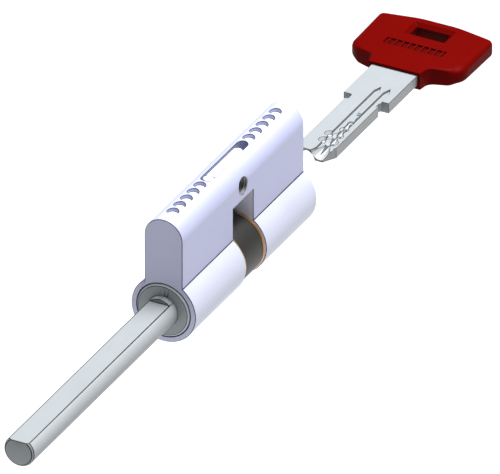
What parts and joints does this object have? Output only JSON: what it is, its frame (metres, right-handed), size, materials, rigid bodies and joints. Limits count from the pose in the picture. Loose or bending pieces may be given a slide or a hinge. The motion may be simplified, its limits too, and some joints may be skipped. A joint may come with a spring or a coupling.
{
  "type": "profile lock cylinder",
  "caption": "Profile lock cylinder with a key plug at one end, a long D-shaped drive shaft at the other, a cam ring between them and a dimple key drawn out in line.",
  "frame": {"origin": "centre of the fixing-screw hole, on the middle plane of the body", "axes": "+X along the barrel towards the key end, +Z towards the rounded edge of the web, +Y across the web; the barrel's axis is 19 mm below the origin"},
  "size_m": [0.2198, 0.0306, 0.033],
  "materials": {
    "satin_nickel": "satin nickel plate on brass",
    "ground_steel": "ground and plated",
    "plain_brass": "machined",
    "blackened_steel": "black oxide",
    "spring_steel": "drawn wire",
    "red_plastic": "moulded, satin gloss"
  },
  "bodies": {
    "housing": {"housing": "satin_nickel", "bridge_bar": "ground_steel", "bridge_dowel": "ground_steel", "key_chamber_plug_1": "ground_steel", "key_chamber_plug_2": "ground_steel", "key_chamber_plug_3": "ground_steel", "key_chamber_plug_4": "ground_steel", "key_chamber_plug_5": "ground_steel", "shaft_chamber_plug_1": "ground_steel", "shaft_chamber_plug_2": "ground_steel", "shaft_chamber_plug_3": "ground_steel", "shaft_chamber_plug_4": "ground_steel", "shaft_chamber_plug_5": "ground_steel", "key_washer": "plain_brass", "shaft_washer": "plain_brass", "pin_spring_1": "spring_steel", "pin_spring_2": "spring_steel", "pin_spring_3": "spring_steel", "pin_spring_4": "spring_steel", "pin_spring_5": "spring_steel"},
    "drive": {"shaft_plug": "ground_steel", "shaft": "ground_steel", "shaft_pin": "ground_steel", "shaft_circlip": "spring_steel", "cam": "blackened_steel", "clutch_spring": "spring_steel"},
    "clutch": {"clutch": "ground_steel"},
    "key_plug": {"key_plug": "ground_steel", "key_circlip": "spring_steel"},
    "key": {"key_blade": "ground_steel", "key_head": "red_plastic"},
    "key_pin_1": {"key_pin_1": "plain_brass"},
    "key_pin_2": {"key_pin_2": "plain_brass"},
    "key_pin_3": {"key_pin_3": "plain_brass"},
    "key_pin_4": {"key_pin_4": "plain_brass"},
    "key_pin_5": {"key_pin_5": "plain_brass"},
    "driver_pin_1": {"driver_pin_1": "ground_steel"},
    "driver_pin_2": {"driver_pin_2": "ground_steel"},
    "driver_pin_3": {"driver_pin_3": "ground_steel"},
    "driver_pin_4": {"driver_pin_4": "ground_steel"},
    "driver_pin_5": {"driver_pin_5": "ground_steel"}
  },
  "joints": [
    {"name": "drive_turn", "type": "hinge", "parent": "housing", "child": "drive", "pos_m": [0, 0, -0.019], "axis": [1, 0, 0], "continuous": true},
    {"name": "key_plug_turn", "type": "hinge", "parent": "housing", "child": "key_plug", "pos_m": [0, 0, -0.019], "axis": [1, 0, 0], "continuous": true},
    {"name": "key_push", "type": "slide", "parent": "key_plug", "child": "key", "axis": [-1, 0, 0], "range_m": [0, 0.0424]},
    {"name": "clutch_push", "type": "slide", "parent": "drive", "child": "clutch", "axis": [-1, 0, 0], "range_m": [0, 0.00212], "deforming": ["clutch_spring"]},
    {"name": "key_pin_1_lift", "type": "slide", "parent": "key_plug", "child": "key_pin_1", "axis": [0, 0, 1], "range_m": [-0.001, 0]},
    {"name": "key_pin_2_lift", "type": "slide", "parent": "key_plug", "child": "key_pin_2", "axis": [0, 0, 1], "range_m": [-0.001, 0]},
    {"name": "key_pin_3_lift", "type": "slide", "parent": "key_plug", "child": "key_pin_3", "axis": [0, 0, 1], "range_m": [-0.001, 0]},
    {"name": "key_pin_4_lift", "type": "slide", "parent": "key_plug", "child": "key_pin_4", "axis": [0, 0, 1], "range_m": [-0.001, 0]},
    {"name": "key_pin_5_lift", "type": "slide", "parent": "key_plug", "child": "key_pin_5", "axis": [0, 0, 1], "range_m": [-0.001, 0]},
    {"name": "driver_pin_1_lift", "type": "slide", "parent": "housing", "child": "driver_pin_1", "axis": [0, 0, 1], "range_m": [0, 0.003], "stiffness_N_per_m": 300, "deforming": ["pin_spring_1"]},
    {"name": "driver_pin_2_lift", "type": "slide", "parent": "housing", "child": "driver_pin_2", "axis": [0, 0, 1], "range_m": [0, 0.003], "stiffness_N_per_m": 300, "deforming": ["pin_spring_2"]},
    {"name": "driver_pin_3_lift", "type": "slide", "parent": "housing", "child": "driver_pin_3", "axis": [0, 0, 1], "range_m": [0, 0.003], "stiffness_N_per_m": 300, "deforming": ["pin_spring_3"]},
    {"name": "driver_pin_4_lift", "type": "slide", "parent": "housing", "child": "driver_pin_4", "axis": [0, 0, 1], "range_m": [0, 0.003], "stiffness_N_per_m": 300, "deforming": ["pin_spring_4"]},
    {"name": "driver_pin_5_lift", "type": "slide", "parent": "housing", "child": "driver_pin_5", "axis": [0, 0, 1], "range_m": [0, 0.003], "stiffness_N_per_m": 300, "deforming": ["pin_spring_5"]}
  ],
  "couplings": [
    {"joint": "clutch_push", "follows": "key_push", "ratio": 0.05}
  ]
}
